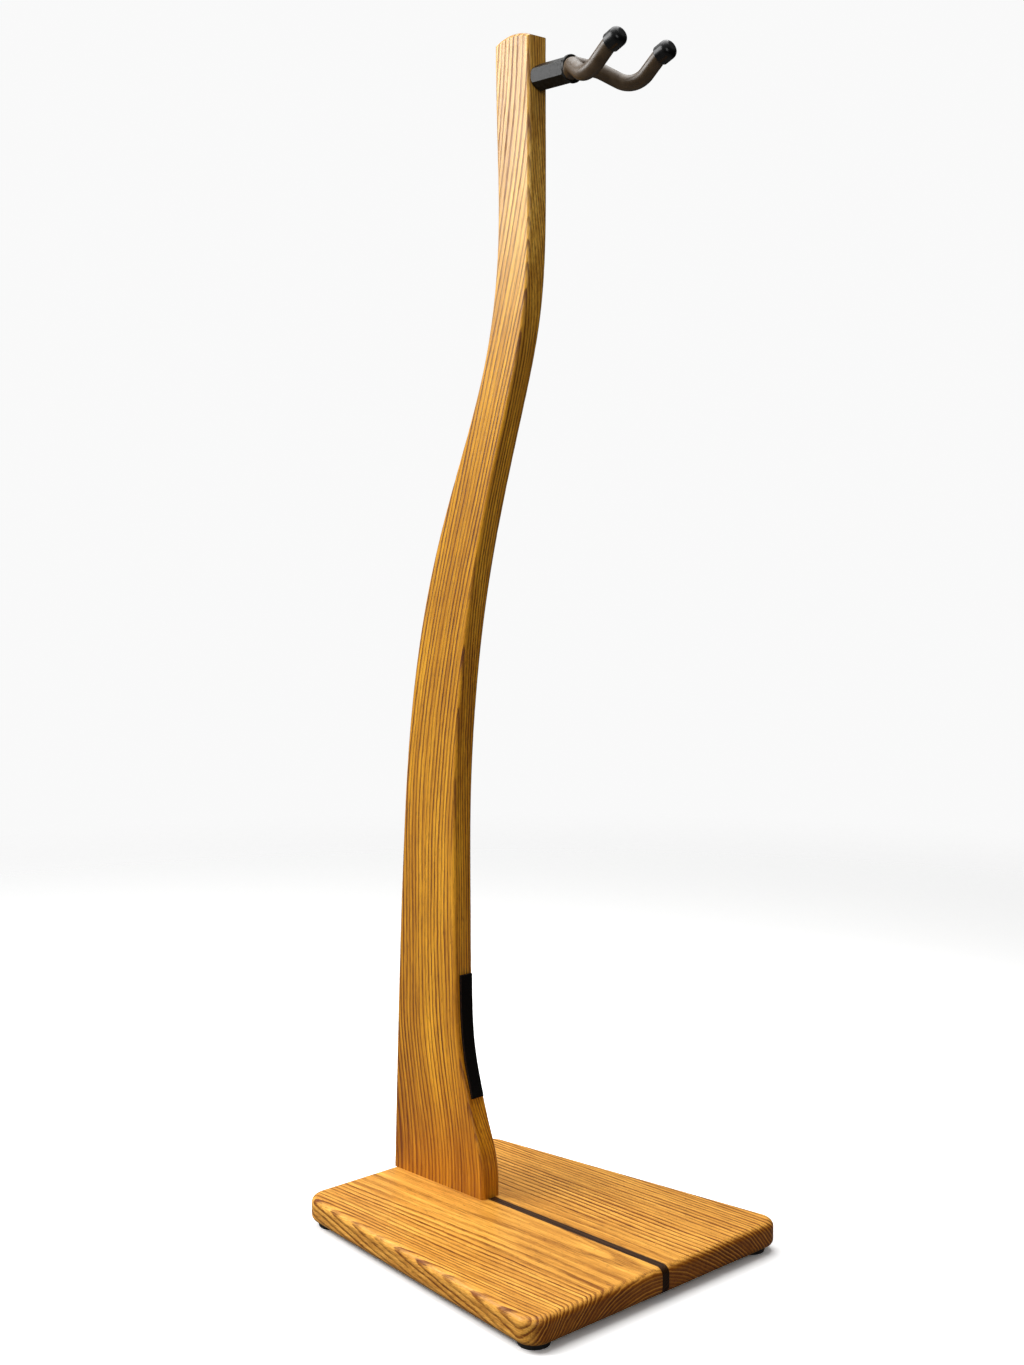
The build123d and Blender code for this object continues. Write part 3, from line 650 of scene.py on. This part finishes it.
# Each light's name, place, target, size in metres and power in watts.
LIGHTS = (
    ("key", (-1.30, 1.40, 1.70), (0.0, 0.0, 0.90), (1.5, 1.05), 46.0),
    ("fill", (-1.30, -2.10, 1.25), (0.0, 0.0, 0.85), (0.9, 0.9), 10.5),
    ("top", (0.15, 0.30, 2.40), (0.0, 0.0, 0.0), (1.8, 1.8), 38.0),
)


def make_camera():
    """A camera at the front left, a little above the middle of the stand, looking slightly down."""
    data = bpy.data.cameras.new("camera")
    data.lens = CAMERA_LENS
    data.clip_end = CAMERA_REACH
    camera = bpy.data.objects.new("camera", data)
    camera.location = CAMERA_PLACE
    camera.rotation_euler = (math.pi / 2 - CAMERA_PITCH, 0.0, -CAMERA_YAW)
    bpy.context.scene.collection.objects.link(camera)
    bpy.context.scene.camera = camera


def make_floor():
    """A pale paper floor that thins out far away, where the white studio takes over."""
    mesh = bpy.data.meshes.new("floor")
    shape = bmesh.new()
    bmesh.ops.create_circle(shape, cap_ends=True, segments=FLOOR_SEGMENTS, radius=FLOOR_RADIUS)
    shape.to_mesh(mesh)
    shape.free()
    floor = bpy.data.objects.new("floor", mesh)
    bpy.context.scene.collection.objects.link(floor)
    g = Graph("floor_paper")
    tone = g.noise(g.position, scale=1.5, detail=3.0)
    distance = g.vector("LENGTH", g.position)
    seen = g.node("ShaderNodeLightPath").outputs["Is Camera Ray"]
    paper = g.mix(g.ramp(distance, FLOOR_TURN), g.mix(tone, *FLOOR_NEAR), FLOOR_FAR)
    g.put(g.shader.inputs["Alpha"], g.ramp(distance, FLOOR_FADE, (1.0, 0.0)))
    mesh.materials.append(g.finish(g.mix(seen, FLOOR_BOUNCE, paper), 0.9, Specular_IOR_Level=0.1))


def make_world():
    """White where it is seen; as a light, bright above and behind on the left and dim in front."""
    world = bpy.data.worlds.new("studio")
    bpy.context.scene.world = world
    world.use_nodes = True
    tree = world.node_tree
    background = tree.nodes["Background"]
    background.inputs["Color"].default_value = rgb(1.0, 1.0, 1.0)
    direction = tree.nodes.new("ShaderNodeTexCoord").outputs["Generated"]
    dot = tree.nodes.new("ShaderNodeVectorMath")
    dot.operation = "DOT_PRODUCT"
    tree.links.new(direction, dot.inputs[0])
    dot.inputs[1].default_value = Vector(SKY_BRIGHT_SIDE).normalized()
    ramp = tree.nodes.new("ShaderNodeMapRange")
    ramp.interpolation_type = "SMOOTHSTEP"
    tree.links.new(dot.outputs["Value"], ramp.inputs["Value"])
    for socket, number in zip(list(ramp.inputs)[1:], (*SKY_WINDOW, *SKY_STRENGTH)):
        socket.default_value = number
    strength = tree.nodes.new("ShaderNodeMix")
    strength.data_type = "FLOAT"
    as_light, as_seen = [strength.inputs[place] for place in MIX_FLOAT_INPUTS]
    tree.links.new(tree.nodes.new("ShaderNodeLightPath").outputs["Is Camera Ray"], strength.inputs["Factor"])
    tree.links.new(ramp.outputs["Result"], as_light)
    as_seen.default_value = BACKDROP_SEEN
    tree.links.new(strength.outputs[MIX_FLOAT_RESULT], background.inputs["Strength"])


def area_light(name, place, target, size, power):
    """A rectangular soft light that looks at a target."""
    data = bpy.data.lights.new(name, "AREA")
    data.shape = "RECTANGLE"
    data.size, data.size_y = size
    data.energy = power
    light = bpy.data.objects.new(name, data)
    light.location = place
    light.rotation_euler = (Vector(target) - Vector(place)).to_track_quat("-Z", "Y").to_euler()
    bpy.context.scene.collection.objects.link(light)


make_camera()
make_floor()
make_world()
for light_values in LIGHTS:
    area_light(*light_values)
view = bpy.context.scene.view_settings
view.view_transform = "Standard"
view.look = "None"
